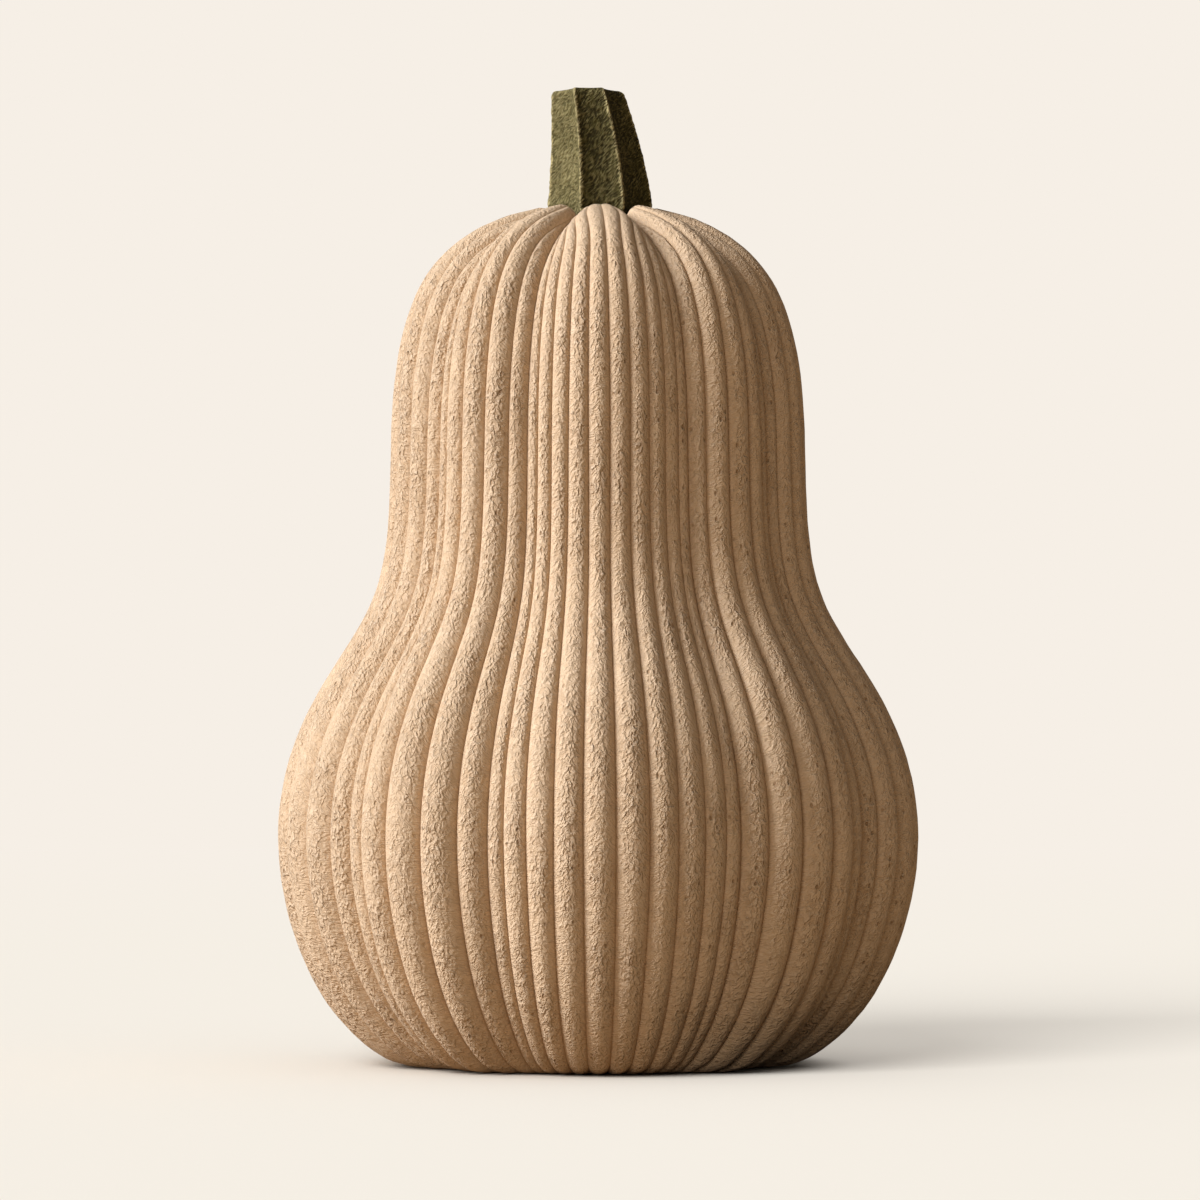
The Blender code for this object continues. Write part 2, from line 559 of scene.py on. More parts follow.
def outline_stations(rings):
    """Radius, height, cleft depth and the outward direction at each ring of the wall."""
    curve = smooth_curve(np.array(OUTLINE) * MM)
    steps = np.diff(curve[:, :2], axis=0)
    lengths = np.linalg.norm(steps, axis=1)
    headings = np.unwrap(np.arctan2(steps[:, 1], steps[:, 0]))
    turns = np.abs(np.diff(headings, append=headings[-1]))
    cost = np.concatenate([[0.0], np.cumsum(lengths + BEND_WEIGHT * turns)])
    wanted = np.linspace(0, cost[-1], rings)
    tangent = np.gradient(curve[:, :2], axis=0)
    tangent /= np.linalg.norm(tangent, axis=1)[:, None]
    table = np.column_stack([curve, tangent[:, 1], -tangent[:, 0]])
    return np.column_stack([np.interp(wanted, cost, column) for column in table.T])


def smoothstep(low, high, value):
    share = np.clip((value - low) / (high - low), 0, 1)
    return share * share * (3 - 2 * share)


def noise_at(x, y, z):
    """Smooth noise, from -1 to 1, at every point of three arrays of one shape."""
    x, y, z = np.broadcast_arrays(x, y, z)
    flat = zip(x.ravel().tolist(), y.ravel().tolist(), z.ravel().tolist())
    return np.array([noise.noise(Vector(point)) for point in flat]).reshape(x.shape)


def rib_columns(per_rib, rib_turn):
    """Every column of the mesh round the fruit: which rib it starts in, how far across that rib
    it is from -1 to 1, the angles of the rib's two grooves, and its lobe's middle and half."""
    turns = (2 * np.arange(per_rib) / per_rib - 1) * rib_turn
    steps = (1 + np.sin(turns) / math.sin(rib_turn)) / 2
    columns = []
    cleft = math.radians(FIRST_CLEFT)
    rib_number = 0
    for width, ribs in LOBES:
        half = math.radians(width) / 2
        turn = (2 * np.arange(ribs + 1) / ribs - 1) * LOBE_TURN
        grooves = cleft + half * (1 + np.sin(turn) / math.sin(LOBE_TURN))
        for rib in range(ribs):
            for step in steps:
                columns.append(
                    (rib_number, 2 * step - 1, grooves[rib], grooves[rib + 1], cleft + half, half)
                )
            rib_number += 1
        cleft += 2 * half
    return np.array(columns)


def stem_reach(height):
    """How far the stem's ridges reach from its centre line."""
    up = (height - STEM_FOOT) / (STEM_RIM - STEM_FOOT)
    below = FOOT_REACH + (RIM_REACH - FOOT_REACH) * up
    down = np.clip((STEM_TOP - height) / (STEM_TOP - STEM_RIM), 0, 1)
    above = TOP_REACH + (RIM_REACH - TOP_REACH) * down**STEM_SWELL
    return np.where(height < STEM_RIM, below, above)


def stem_centre(height):
    up = np.clip((height - STEM_RIM) / (STEM_TOP - STEM_RIM), 0, 1)
    return STEM_SHIFT + STEM_LEAN * up**LEAN_POWER


def stem_skin(angles, rounding, cord=0.0):
    """The stem's radius in each direction, over its reach, with its ridges rounded off. The
    ridges stand out as cords by a share of the reach."""
    fine = np.radians(np.arange(0, 360, 0.5))
    radii = np.empty_like(fine)
    ridges = np.radians(STEM_RIDGES)
    for i, start in enumerate(ridges):
        end = ridges[(i + 1) % len(ridges)] + (2 * math.pi if i + 1 == len(ridges) else 0)
        first = np.array((math.sin(start), -math.cos(start)))
        chord = np.array((math.sin(end), -math.cos(end))) - first
        inward = np.array((-chord[1], chord[0]))
        across = np.linspace(0, 1, 200)[:, None]
        face = first + chord * across + inward * FACE_HOLLOW * 4 * across * (1 - across)
        turn = np.unwrap(np.arctan2(face[:, 0], -face[:, 1]))
        turn += round((start - turn[0]) / (2 * math.pi)) * 2 * math.pi
        here = start + (fine - start) % (2 * math.pi)
        inside = here <= end
        radii[inside] = np.interp(here[inside], turn, np.linalg.norm(face, axis=1))
    reach = 4 * rounding
    offsets = np.arange(-reach, reach, fine[1])
    weights = np.exp(-((offsets / rounding) ** 2) / 2)
    soft = sum(
        weight * np.interp((fine + offset) % (2 * math.pi), fine, radii, period=2 * math.pi)
        for weight, offset in zip(weights, offsets)
    ) / weights.sum()
    skin = np.interp(angles % (2 * math.pi), fine, soft, period=2 * math.pi)
    apart = np.abs((np.degrees(angles)[:, None] - STEM_RIDGES + 180) % 360 - 180).min(axis=1)
    return skin - cord * (1 - np.exp(-((apart / CORD_WIDTH) ** 2)))


def tube_mesh(name, grid, caps):
    """A closed mesh from a grid of rings by columns, with a point at each end of caps."""
    rings, columns = grid.shape[:2]
    corners = np.concatenate([grid.reshape(-1, 3), caps])
    low = np.arange(rings - 1)[:, None] * columns + np.arange(columns)
    beside = np.arange(rings - 1)[:, None] * columns + (np.arange(columns) + 1) % columns
    quads = np.stack([low, beside, beside + columns, low + columns], axis=-1).reshape(-1, 4)
    first, last = len(corners) - 2, len(corners) - 1
    ring = np.arange(columns)
    beside = (ring + 1) % columns
    top = (rings - 1) * columns
    bottom_fan = np.stack([beside, ring, np.full(columns, first)], axis=-1)
    top_fan = np.stack([top + ring, top + beside, np.full(columns, last)], axis=-1)
    mesh = bpy.data.meshes.new(name)
    mesh.from_pydata(corners, [], quads.tolist() + bottom_fan.tolist() + top_fan.tolist())
    mesh.shade_smooth()
    return mesh


def crease_grooves(mesh, columns, per_rib):
    """Marks the grooves between the ribs as sharp edges, so that the two flanks stay apart."""
    ends = np.empty(2 * len(mesh.edges), int)
    mesh.edges.foreach_get("vertices", ends)
    ends = ends.reshape(-1, 2)
    place = ends % columns
    in_groove = (place[:, 0] == place[:, 1]) & (place[:, 0] % per_rib == 0)
    in_groove &= ends.max(axis=1) < len(mesh.vertices) - 2
    mesh.attributes.new("sharp_edge", "BOOLEAN", "EDGE").data.foreach_set("value", in_groove)


def store_on_corners(mesh, name, field, cap_values):
    """Keeps three numbers for each face corner. field has one more column than the mesh, which
    closes the round."""
    low, high = field[:-1], field[1:]
    quads = np.stack([low[:, :-1], low[:, 1:], high[:, 1:], high[:, :-1]], axis=2)
    ends = []
    for ring, turned, cap in ((field[0], True, cap_values[0]), (field[-1], False, cap_values[1])):
        here, beside = ring[:-1], ring[1:]
        middle = np.broadcast_to(np.array(cap), here.shape).copy()
        middle[:, 0] = (here[:, 0] + beside[:, 0]) / 2
        pair = (beside, here) if turned else (here, beside)
        ends.append(np.stack([*pair, middle], axis=1).reshape(-1, 3))
    values = np.concatenate([quads.reshape(-1, 3), *ends])
    layer = mesh.attributes.new(name, "FLOAT_VECTOR", "CORNER")
    layer.data.foreach_set("vector", values.astype(np.float32).ravel())


def add_piece(name, mesh, material, node):
    mesh.materials.append(material)
    piece = bpy.data.objects.new(name, mesh)
    bpy.context.scene.collection.objects.link(piece)
    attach(piece, "root")
    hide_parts(node)


def fruit_grid(settings):
    """The fruit's points as rings by columns, how far along the skin each ring lies, and the
    columns."""
    columns = rib_columns(settings.columns_per_rib, settings.rib_turn)
    wall = outline_stations(settings.rings)
    foot = foot_stations(wall[0])
    stations = np.concatenate([foot, wall[1:]])
    radius, height, cleft, out, up = (column[:, None] for column in stations.T)
    along = np.concatenate([[0.0], np.cumsum(np.hypot(*np.diff(stations[:, :2], axis=0).T))])
    along = along[:, None]

    rib, across, left, right, middle, half = columns.T
    ribs = int(rib[-1]) + 1
    following = (rib + 1) % ribs
    share = (across + 1) / 2
    waver_left = noise_at(rib * 3.7, along / WAVER_LENGTH, 0.5) * settings.rib_waver
    waver_right = noise_at(following * 3.7, along / WAVER_LENGTH, 0.5) * settings.rib_waver
    upper = height > 0.5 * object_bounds()[1][2]
    near_rim = np.where(upper, smoothstep(*RIM_FADE, radius), 0.0)
    place = np.clip((left + (right - left) * share - middle) / half, -1, 1)
    spread = 0.01 + RIM_SPREAD * near_rim
    place = np.tanh(spread * place) / np.tanh(spread)
    angle = middle + half * place + waver_left * (1 - share) + waver_right * share

    width = right - left
    per_rib = settings.columns_per_rib
    groove_left = (width + np.roll(width, per_rib)) / 2
    groove_right = (width + np.roll(width, -per_rib)) / 2
    groove_width = groove_left + (groove_right - groove_left) * share
    rib_rise = math.tan(settings.rib_turn / 2) / 2
    low = math.cos(settings.rib_turn)
    arch = (np.cos(np.arcsin(across * math.sin(settings.rib_turn))) - low) / (1 - low)
    arch = 1 - (1 - arch) * (1 - RIM_RIB_LOSS * near_rim)
    fade = FOOT_RELIEF + (1 - FOOT_RELIEF) * smoothstep(*FOOT_FADE, radius)
    fade = np.where(upper, 1.0, fade)
    deeper = (rib_rise - CREST_DROP) * groove_width * (1 - arch)
    sink = radius * (CREST_DROP * (width.max() - width * arch) + deeper)
    sink = sink + cleft * np.abs(place) ** (LOBE_ROUND + near_rim)
    lump = lumps(settings, across, angle, radius, height)
    sink = (sink + lump) * fade
    ring_radius = radius - (sink + SKIN_INSET) * out
    ring_height = (height - sink * up).clip(0)
    grid = np.stack(
        [ring_radius * np.sin(angle), -ring_radius * np.cos(angle), ring_height], axis=-1
    )
    grid, along = add_socket(grid, along, angle[-1])
    return grid, along, columns


def foot_stations(first):
    """Stations of the underside, from the blossom scar out to the edge of the foot."""
    radii = np.concatenate([np.linspace(1.2 * MM, FOOT_INNER, 12), [30 * MM, 34 * MM, 37 * MM]])
    inward = smoothstep(FOOT_INNER, SCAR_RADIUS * 0.3, radii)
    heights = SCAR_RISE * inward
    flat = np.zeros_like(radii)
    rows = np.column_stack([radii, heights, flat, flat, flat - 1])
    first = np.array([first[0], 0.0, first[2], 0.0, -1.0])
    return np.vstack([rows, first])


def lumps(settings, across, angle, radius, height):
    """How far the skin sinks between its broad lumps, which are largest along the crests. The
    lumps' widths and lengths are in mm."""
    x, y = radius * np.sin(angle) / MM, radius * np.cos(angle) / MM
    z = height / MM
    long_lumps = noise_at(x / 2.6, y / 2.6, z / 5.5)
    short_lumps = noise_at(x / 1.7 + 40, y / 1.7, z / 2.6)
    crest = 0.35 + 0.65 * (1 - across**2)
    return settings.lump_rise * crest * (1 - 0.65 * long_lumps - 0.35 * short_lumps) / 2


def add_socket(grid, along, angles):
    """Carries the rim over and down beside the stem to the socket's floor."""
    rim = grid[-1]
    skin = stem_skin(angles, SOCKET_ROUND)

    def beside(height):
        reach = stem_reach(np.array(height)) * skin + SOCKET_GAP
        return reach * np.sin(angles) + STEM_SHIFT, -reach * np.cos(angles)

    lip = np.column_stack([*beside(STEM_RIM), rim[:, 2] - SOCKET_LIP])
    # the roll turns nearly above the lip
    corner = np.column_stack([lip[:, :2] * 0.93 + rim[:, :2] * 0.07, rim[:, 2]])
    rings = []
    for t in np.linspace(0, 1, LIP_POINTS)[1:]:
        rings.append((1 - t) ** 2 * rim + 2 * t * (1 - t) * corner + t * t * lip)
    floor = np.column_stack([*beside(STEM_FOOT), np.full(len(rim), SOCKET_FLOOR)])
    for t in (0.35, 0.7, 1.0):
        rings.append(lip + (floor - lip) * t)
    rings = np.array(rings)
    # these rings lie about 1.2 mm apart
    more = np.linspace(1, len(rings), len(rings))[:, None] * 1.2 * MM
    return np.concatenate([grid, rings]), np.concatenate([along, along[-1] + more])


def fruit_fields(grid, along, columns):
    """For each ring and column, with one column more than the mesh: the place in the grain
    (across and along in mm, and the rib's number), and the place in the form (across the rib,
    radius and height)."""
    rib, across = columns.T[:2]
    per_rib = int((rib == 0).sum())
    grooves = grid[:, ::per_rib]
    widths = np.linalg.norm(np.roll(grooves, -1, axis=1) - grooves, axis=2) / MM
    fields = []
    for start in range(0, len(columns), per_rib):
        own = slice(start, start + per_rib)
        # the closing groove belongs to this rib too, at across = 1
        share = np.append(across[own], 1.0)
        wide = np.repeat(widths[:, start // per_rib, None], per_rib + 1, axis=1)
        closed = np.arange(start, start + per_rib + 1) % len(columns)
        points = grid[:, closed] / MM
        on_skin = np.broadcast_to(along / MM, wide.shape)
        number = np.full(wide.shape, rib[start])
        grain = np.stack([share * wide / 2, on_skin, number], axis=-1)
        radius = np.hypot(points[..., 0], points[..., 1])
        form = np.stack([np.broadcast_to(share, wide.shape), radius, points[..., 2]], axis=-1)
        fields.append((grain, form))
    return fields


def store_rib_fields(mesh, fields):
    """Lays each rib's corner values in the order of the mesh's faces: quads, then the fans."""
    for index, name in enumerate(("skin_grain", "skin_form")):
        quads = []
        fans = [[], []]
        for rib_field in fields:
            field = rib_field[index]
            low, high = field[:-1], field[1:]
            quads.append(np.stack([low[:, :-1], low[:, 1:], high[:, 1:], high[:, :-1]], axis=2))
            for end, turned in ((0, True), (-1, False)):
                here, beside = field[end, :-1], field[end, 1:]
                middle = (here + beside) / 2
                pair = (beside, here) if turned else (here, beside)
                fans[end].append(np.stack([*pair, middle], axis=1))
        values = np.concatenate(
            [
                np.concatenate(quads, axis=1).reshape(-1, 3),
                np.concatenate(fans[0]).reshape(-1, 3),
                np.concatenate(fans[-1]).reshape(-1, 3),
            ]
        )
        layer = mesh.attributes.new(name, "FLOAT_VECTOR", "CORNER")
        layer.data.foreach_set("vector", values.astype(np.float32).ravel())


def frame_shift(grid):
    """How far the finished fruit moves to lie over the plain solid."""
    low, high = (np.array(corner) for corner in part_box("fruit"))
    own = (grid.reshape(-1, 3).min(axis=0) + grid.reshape(-1, 3).max(axis=0)) / 2
    return np.array([*((low + high) / 2 - own)[:2], 0.0])


def skin_finish(settings):
    """Matte tan skin: short strokes climb each rib from both sides to its crest, with fine
    wrinkles on its flanks, and lumps, creases, beads and pits that are deepest along the crest.
    Painted highlight lightens the raised grain and painted shade darkens the pits, grooves and
    creases. Lengths are in mm, across and along the rib."""
    skin = Finish("squash_skin", settings.roughness)
    skin.shader.inputs["Specular IOR Level"].default_value = 0.5
    x, y, rib = skin.stored("skin_grain")
    across, radius, height = skin.stored("skin_form")
    seed = rib * 13.7

    def strokes(side):
        rise, run = math.sin(settings.grain_slant), math.cos(settings.grain_slant)
        on = x * (-side * run) + y * rise
        over = x * (side * rise) + y * run
        vector = skin.vector(
            on / settings.grain_length, over / settings.grain_width, seed + side * 5.0
        )
        return skin.noise(vector, detail=0.0, distortion=0.8)

    right_side = across.step(-0.22, 0.22)
    patch = skin.noise(skin.vector(x / 9, y / 16, seed * 0.31), detail=1.0).step(0.25, 0.75)
    crest = (abs(across).step(1.05, 0.40) * 0.85 + 0.15) * (patch + 0.35)
    crest = crest * (1.0 - height.step(166.0, 184.0) * 0.55)
    stroke = skin.blend(right_side, strokes(-1.0), strokes(1.0)).step(0.34, 0.66)
    lump = skin.noise(
        skin.vector(x / 1.5, y / 2.6, seed), detail=0.0, distortion=0.4
    ).step(0.30, 0.70)
    crease = skin.noise(
        skin.vector(x / 0.70, y / 1.25, seed + 9.0), detail=0.0, distortion=0.7
    ).step(0.36, 0.64)
    swirl = skin.noise(skin.vector(x / 2.4, y / 3.2, seed + 21.0), detail=0.0) * 2.4
    flank = skin.noise(
        skin.vector(x / 1.3, (y + abs(x) * 0.5 + swirl) / 0.33, seed + 3.0),
        detail=1.0,
        distortion=0.2,
    ).step(0.30, 0.70)
    bead_distance, bead_chance = skin.cells(skin.vector(x / 1.2, y / 1.5, seed + 5.0))
    bead = bead_distance.step(0.34, 0.14) * bead_chance.step(0.62, 0.64) * crest
    fine = skin.noise(skin.vector(x / 0.22, y / 0.30, seed), detail=1.0)
    distance, chance = skin.cells(skin.vector(x / 1.3, y / 2.4, seed))
    pit = distance.step(0.26, 0.10) * chance.step(0.62, 0.66) * (crest + 0.15)
    relief = (
        stroke * (crest * 0.10 + 0.03)
        + lump * (crest * 0.14 + 0.01)
        + crease * (crest * 0.21 + 0.02)
        + flank * (0.13 - crest * 0.02)
        + bead * 0.20
        + fine * 0.04
        - pit * 0.32
    )
    # raised: painted highlight on the raised strokes, lumps, striations and beads
    raised = stroke * 0.25 + lump * crest * 0.2 + flank * 0.3 + bead * 0.6 - 0.1
    mottle = skin.noise(skin.vector(x / 14, y / 22, seed * 0.02), detail=2.0)
    groove = abs(across).step(0.88, 1.0)
    # the raised grain's painted highlight plus the skin's random mottle
    tone = raised * 0.8 + (mottle - 0.5) * 0.5
    colour = skin.mix(tone, settings.skin_colour, settings.highlight_and_pale_colour)
    # painted shade in the pits, in the grooves between the ribs and where the creases lie low; the
    # blossom scar is the skin's own darker colour
    shade_and_scar = pit * 0.9 + groove * 0.6 + (1.0 - crease) * crest * 0.35
    scar = radius.step(7.0, 4.0) * height.step(20.0, 10.0)
    colour = skin.mix(shade_and_scar + scar, colour, settings.shade_and_scar_colour)
    rough = settings.roughness + (0.5 - stroke) * 0.12
    return skin.finish(colour, skin.bump(relief, MM), rough)


def stem_grid(settings):
    """The stem's points as rings by columns, from the foot up, over the edge and in across the
    cut, then the angles, the skin's reach and how far out on the cut each ring lies."""
    angles = np.arange(STEM_COLUMNS) * 2 * math.pi / STEM_COLUMNS
    skin = stem_skin(angles, settings.ridge_round, settings.ridge_cord)
    wall = np.linspace(STEM_RIM - 4 * MM, STEM_TOP - CUT_ROUND, settings.rings)
    side = np.concatenate([[STEM_FOOT, STEM_RIM - 6 * MM], wall])
    turn = np.radians(np.linspace(8, 90, 9))
    edge = STEM_TOP - CUT_ROUND * (1 - np.sin(turn))
    heights = np.concatenate([side, edge, np.full(CUT_RINGS, STEM_TOP)])
    edge_inset = CUT_ROUND * (1 - np.cos(turn))
    insets = np.concatenate([np.zeros(len(side)), edge_inset, np.zeros(CUT_RINGS)])
    shares = np.concatenate([np.ones(len(side) + len(turn)), np.linspace(0.9, 0.1, CUT_RINGS)])
    reach = stem_reach(heights) - insets
    reach[-CUT_RINGS:] = reach[-CUT_RINGS - 1]
    radius = reach[:, None] * skin * shares[:, None]
    z = np.repeat(heights[:, None], STEM_COLUMNS, axis=1)
    centre = stem_centre(heights)[:, None]
    x, y = radius * np.sin(angles), -radius * np.cos(angles)
    swirl = noise_at(x / MM / 3.0, y / MM / 3.0, z / MM / 3.0) * 1.2
    on, over = x * 0.8 + z * 0.6, z * 0.8 - x * 0.6
    rough = noise_at(on / MM / 1.5, y / MM / 0.9, over / MM / 0.62 + swirl) * 0.65
    rough += noise_at(x / MM / 0.8 + 9, y / MM / 0.8, z / MM / 1.0) * 0.35
    on_side = (heights > STEM_RIM - 5 * MM)[:, None] * (shares >= 0.99)[:, None]
    radius = radius - settings.bark_lump * (1 - rough) * on_side
    x, y = radius * np.sin(angles) + centre, -radius * np.cos(angles)
    dish = np.where(shares < 0.99, cut_relief(shares), 0.0)[:, None]
    z = z - dish - (shares < 0.99)[:, None] * (0.5 + 0.5 * rough) * 0.12 * MM
    return np.stack([x, y, z], axis=-1), angles, skin, shares


def cut_relief(shares):
    """How far the cut face lies below the stem's top: a pith that has shrunk in its ring."""
    return CUT_SINK + PITH_SINK * smoothstep(0.62, 0.25, shares)


def lit_and_dry_face(turn):
    """How pale the bark is painted in each direction, in degrees: most on the face at the left, as
    painted key light, less on one at the back, as pale dry bark, and least towards the right of the
    face in front, as the painted lit side of that hollow face."""
    bearing = (turn + 180) % 360 - 180
    left = smoothstep(-102, -92, bearing) * smoothstep(-19, -25, bearing)
    front = smoothstep(-16, 18, bearing) * smoothstep(32, 28, bearing)
    back = smoothstep(150, 156, turn) * smoothstep(212, 206, turn)
    return left + 0.3 * front + 0.6 * back


def stem_fields(mesh, angles, skin, shares):
    """Keeps what the bark's finish needs: how far out the skin lies, over the reach, how far out
    on the cut a point is, and how pale the face is painted, with painted key light and dry bark."""
    turn = np.append(angles, 2 * math.pi)
    shape = (len(shares), len(turn))
    ridge = np.append(skin, skin[0])
    form = np.stack(
        [
            np.broadcast_to(ridge, shape),
            np.broadcast_to(shares[:, None], shape),
            np.broadcast_to(lit_and_dry_face(np.degrees(turn)), shape),
        ],
        axis=-1,
    )
    store_on_corners(mesh, "stem_form", form, ((1, 0, 0), (1, 0, 0)))


def bark_finish(settings):
    """Dry olive bark with slanting fibres and paler ridges, painted key light on its left face and
    painted shade in its crevices, and a pale fibrous cut.
    """
    bark = Finish("stem_bark", settings.roughness)
    bark.shader.inputs["Specular IOR Level"].default_value = 0.1
    # face: how pale each face is painted, with painted key light on the left face and dry bark at
    # the back
    ridge, share, face = bark.stored("stem_form")
    place = bark.add("ShaderNodeTexCoord", output="Object")
    x, y, z = (axis * 1000.0 for axis in bark.split(place))
    bend = bark.noise(place, scale=300.0, detail=0.0) * 1.4
    fibre = bark.noise(
        bark.vector((x * 0.62 + z * 0.78) / 1.1, y, (z * 0.62 - x * 0.78 + bend) / 0.25),
        detail=1.0,
        distortion=0.2,
    ).step(0.32, 0.68)
    lump = bark.noise(place, scale=640.0, detail=2.0, roughness=0.55).step(0.3, 0.7)
    fine = bark.noise(place, scale=1900.0, detail=2.0)
    cut = share.step(0.97, 0.93)
    relief = fibre * (0.42 - face * 0.14) + lump * 0.45 + fine * 0.15
    edge = (ridge + (fibre - 0.5) * 0.03).step(0.93, 0.97)
    blotch = bark.noise(place, scale=160.0, detail=2.0).step(0.35, 0.65)
    # painted key light: the left face is painted paler where the key light falls; ridges, fibres
    # and blotches are the bark's own tones
    dry = face * 0.30 + edge * 0.75 + (fibre - 0.5) * (0.45 - face * 0.2) + (blotch - 0.5) * 0.12
    colour = bark.mix(dry, settings.bark_colour, settings.ridge_and_lit_colour)
    # painted shade where the fibres and lumps lie low, less on the left face where the key light
    # falls
    painted_crevice_shade = (fibre * 0.6 + lump * 0.4).step(0.5, 0.2) * (0.75 - face * 0.4)
    colour = bark.mix(painted_crevice_shade, colour, settings.crevice_shade_colour)
    pith = share.step(0.5, 0.35)
    cut_tone = bark.mix(fine * 0.5 + pith * 0.4, settings.cut_colour, settings.pith_colour)
    colour = bark.mix(cut, colour, cut_tone)
    return bark.finish(colour, bark.bump(relief, MM))


def floor_finish(settings):
    """Matte floor that runs out into the backdrop's own tone. Lengths are in metres from the
    squash's axis."""
    floor = Finish("pale_floor", 0.9)
    seen = floor.add("ShaderNodeLightPath", output="Is Camera Ray")
    position = floor.add("ShaderNodeNewGeometry", output="Position")
    reach = floor.add(
        "ShaderNodeVectorMath", {"operation": "LENGTH"}, {0: position}, output="Value"
    )
    # under the right of the base the floor sends no light back
    shaded = floor.split(position)[0].step(0.002, 0.03) * reach.step(0.10, 0.065)
    bounce = floor.mix(shaded, settings.bounce_colour, (0.0, 0.0, 0.0))
    colour = floor.mix(seen, bounce, settings.floor_colour)
    floor.put(floor.shader.inputs["Base Color"], colour)
    floor.shader.inputs["Specular IOR Level"].default_value = 0.0
    # painted light: the floor glows in the backdrop's tone and so lifts its cast shadow, by 0.3
    # just beyond the foot and fully out towards the horizon
    beside_foot = reach.step(0.043, 0.058)
    horizon = reach.step(0.3, 2.5)
    far = (beside_foot * 0.3 + horizon * 0.7) * seen
    glow = floor.add("ShaderNodeEmission", inputs={"Color": tuple(settings.backdrop_colour)})
    mixed = floor.add(
        "ShaderNodeMixShader", inputs={0: far, 1: Sum(floor, floor.shader.outputs[0]), 2: glow}
    )
    output = floor.tree.nodes["Material Output"]
    floor.tree.links.new(mixed.socket, output.inputs["Surface"])
    return floor.material


def make_world(settings):
    """The camera sees the backdrop's tone, and everything else the warm fill light."""
    world = bpy.data.worlds.new("studio")
    bpy.context.scene.world = world
    world.use_nodes = True
    tree = world.node_tree
    tree.nodes.clear()
    fill = tree.nodes.new("ShaderNodeBackground")
    fill.inputs["Color"].default_value = (*settings.fill_colour, 1.0)
    fill.inputs["Strength"].default_value = settings.fill_strength
    seen = tree.nodes.new("ShaderNodeBackground")
    seen.inputs["Color"].default_value = (*settings.backdrop_colour, 1.0)
    path = tree.nodes.new("ShaderNodeLightPath")
    mix = tree.nodes.new("ShaderNodeMixShader")
    output = tree.nodes.new("ShaderNodeOutputWorld")
    tree.links.new(path.outputs["Is Camera Ray"], mix.inputs[0])
    tree.links.new(fill.outputs[0], mix.inputs[1])
    tree.links.new(seen.outputs[0], mix.inputs[2])
    tree.links.new(mix.outputs[0], output.inputs["Surface"])


class SQUASH_OT_fruit(bpy.types.Operator):
    """Grow the ribbed fruit over the plain solid"""

    bl_idname = "squash.fruit"
    bl_label = "Grow fruit"
    bl_options = {"REGISTER", "UNDO"}

    def execute(self, context):
        settings = context.scene.squash_fruit
        grid, along, columns = fruit_grid(settings)
        shift = frame_shift(grid)
        scar = np.array([[0.0, 0.0, SCAR_RISE]])
        floor = np.array([[STEM_SHIFT, 0.0, SOCKET_FLOOR]])
        mesh = tube_mesh("ribbed_fruit", grid + shift, np.concatenate([scar, floor]) + shift)
        crease_grooves(mesh, len(columns), settings.columns_per_rib)
        store_rib_fields(mesh, fruit_fields(grid, along, columns))
        add_piece("ribbed_fruit", mesh, skin_finish(settings), "fruit")
        context.scene["squash_shift"] = shift.tolist()
        return {"FINISHED"}


class SQUASH_OT_stem(bpy.types.Operator):
    """Set the cut stem in the fruit's socket"""

    bl_idname = "squash.stem"
    bl_label = "Set stem"
    bl_options = {"REGISTER", "UNDO"}

    def execute(self, context):
        settings = context.scene.squash_stem
        shift = np.array(context.scene["squash_shift"])
        grid, *form = stem_grid(settings)
        foot = np.array([[STEM_SHIFT, 0.0, STEM_FOOT]])
        top = np.array([[stem_centre(STEM_TOP), 0.0, STEM_TOP - cut_relief(0.0)]])
        mesh = tube_mesh("cut_stem", grid + shift, np.concatenate([foot, top]) + shift)
        stem_fields(mesh, *form)
        add_piece("cut_stem", mesh, bark_finish(settings), "stem")
        return {"FINISHED"}


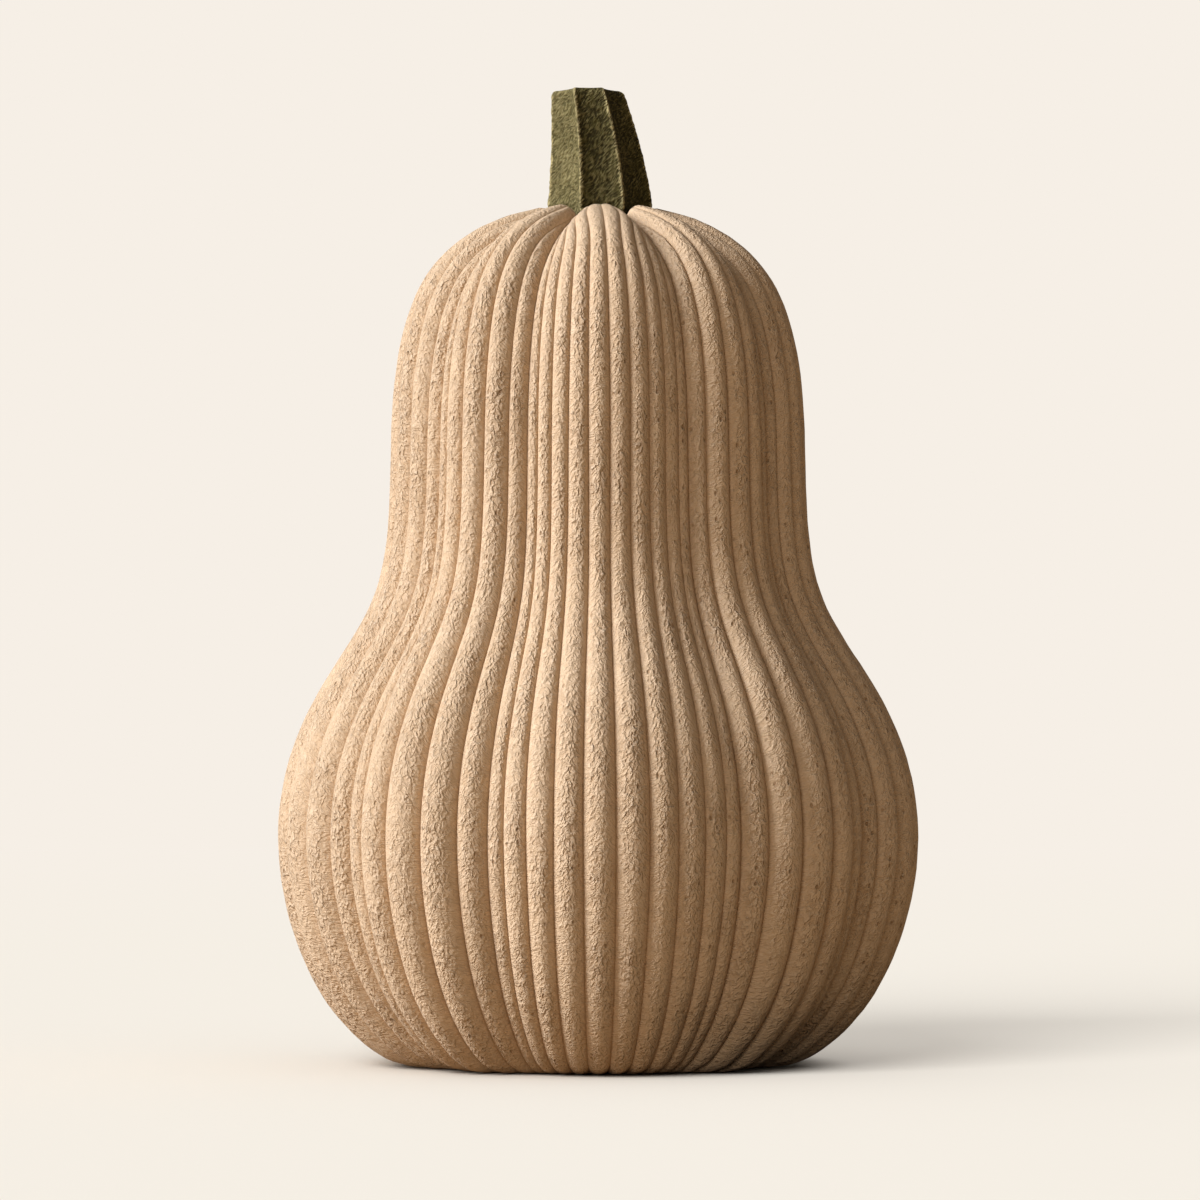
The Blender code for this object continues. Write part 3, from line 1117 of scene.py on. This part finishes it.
class SQUASH_OT_stage(bpy.types.Operator):
    """Lay the pale floor, light it from the front left and stand the camera in front"""

    bl_idname = "squash.stage"
    bl_label = "Set stage"
    bl_options = {"REGISTER", "UNDO"}

    def execute(self, context):
        settings = context.scene.squash_stage
        floor = self.lay_floor(settings)
        make_world(settings)
        own, floor_own = (floor, "EXCLUDE"), (floor, "INCLUDE")
        angles = (settings.key_azimuth, settings.key_elevation, settings.key_softness)
        self.hang_sun("key", settings.key_strength, settings.key_colour, angles, own)
        angles = (settings.front_azimuth, settings.front_elevation, settings.front_softness)
        self.hang_sun("front", settings.front_strength, settings.fill_colour, angles, own)
        angles = (settings.shadow_azimuth, settings.shadow_elevation, settings.shadow_softness)
        white = (1.0, 1.0, 1.0)
        self.hang_sun("floor_key", settings.shadow_strength, white, angles, floor_own)
        angles = (0.0, math.radians(90), settings.sky_softness)
        self.hang_sun("floor_sky", settings.sky_strength, white, angles, floor_own)
        self.stand_camera(context, settings)
        context.scene.view_settings.view_transform = "Standard"
        return {"FINISHED"}

    def lay_floor(self, settings, half_side=30.0):
        mesh = bpy.data.meshes.new("floor")
        signs = ((-1, -1), (1, -1), (1, 1), (-1, 1))
        corners = [(x * half_side, y * half_side, 0.0) for x, y in signs]
        mesh.from_pydata(corners, [], [(0, 1, 2, 3)])
        mesh.materials.append(floor_finish(settings))
        floor = bpy.data.objects.new("floor", mesh)
        bpy.context.scene.collection.objects.link(floor)
        floor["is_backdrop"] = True
        return floor

    def hang_sun(self, name, strength, colour, angles, linked):
        """A soft sun that leaves the floor out, or that lights the floor alone."""
        azimuth, elevation, softness = angles
        floor, link_state = linked
        light = bpy.data.lights.new(name, "SUN")
        light.energy = strength
        light.color = colour
        light.angle = softness
        sun = bpy.data.objects.new(name, light)
        lit = bpy.data.collections.new(name)
        lit.objects.link(floor)
        lit.collection_objects[0].light_linking.link_state = link_state
        sun.light_linking.receiver_collection = lit
        towards = Vector(
            (
                math.sin(azimuth) * math.cos(elevation),
                -math.cos(azimuth) * math.cos(elevation),
                math.sin(elevation),
            )
        )
        sun.rotation_euler = towards.to_track_quat("Z", "Y").to_euler()
        bpy.context.scene.collection.objects.link(sun)

    def stand_camera(self, context, settings):
        place = Vector((0.0, -settings.camera_distance, settings.camera_height))
        aim = Vector((AIM_SHIFT, 0.0, settings.aim_height))
        data = bpy.data.cameras.new("camera")
        data.sensor_width = 36.0
        data.lens = data.sensor_width * (aim - place).length / settings.picture_width
        camera = bpy.data.objects.new("camera", data)
        camera.location = place
        camera.rotation_euler = (aim - place).to_track_quat("-Z", "Y").to_euler()
        context.scene.collection.objects.link(camera)
        context.scene.camera = camera


class SQUASH_PT_panel(bpy.types.Panel):
    """Lists the squash's pieces and their settings"""

    bl_idname = "SQUASH_PT_panel"
    bl_label = "Butternut squash"
    bl_space_type = "VIEW_3D"
    bl_region_type = "UI"
    bl_category = "Squash"

    def draw(self, context):
        scene = context.scene
        for settings, operator in (
            (scene.squash_fruit, SQUASH_OT_fruit),
            (scene.squash_stem, SQUASH_OT_stem),
            (scene.squash_stage, SQUASH_OT_stage),
        ):
            box = self.layout.box()
            for name in settings.__annotations__:
                box.prop(settings, name)
            box.operator(operator.bl_idname)


CLASSES = (
    FruitSettings,
    StemSettings,
    StageSettings,
    SQUASH_OT_fruit,
    SQUASH_OT_stem,
    SQUASH_OT_stage,
    SQUASH_PT_panel,
)


def register():
    for made in CLASSES:
        bpy.utils.register_class(made)
    bpy.types.Scene.squash_fruit = PointerProperty(type=FruitSettings)
    bpy.types.Scene.squash_stem = PointerProperty(type=StemSettings)
    bpy.types.Scene.squash_stage = PointerProperty(type=StageSettings)


def unregister():
    del bpy.types.Scene.squash_stage
    del bpy.types.Scene.squash_stem
    del bpy.types.Scene.squash_fruit
    for made in reversed(CLASSES):
        bpy.utils.unregister_class(made)


def main():
    register()
    bpy.ops.squash.fruit()
    bpy.ops.squash.stem()
    bpy.ops.squash.stage()


if __name__ == "__main__":
    main()
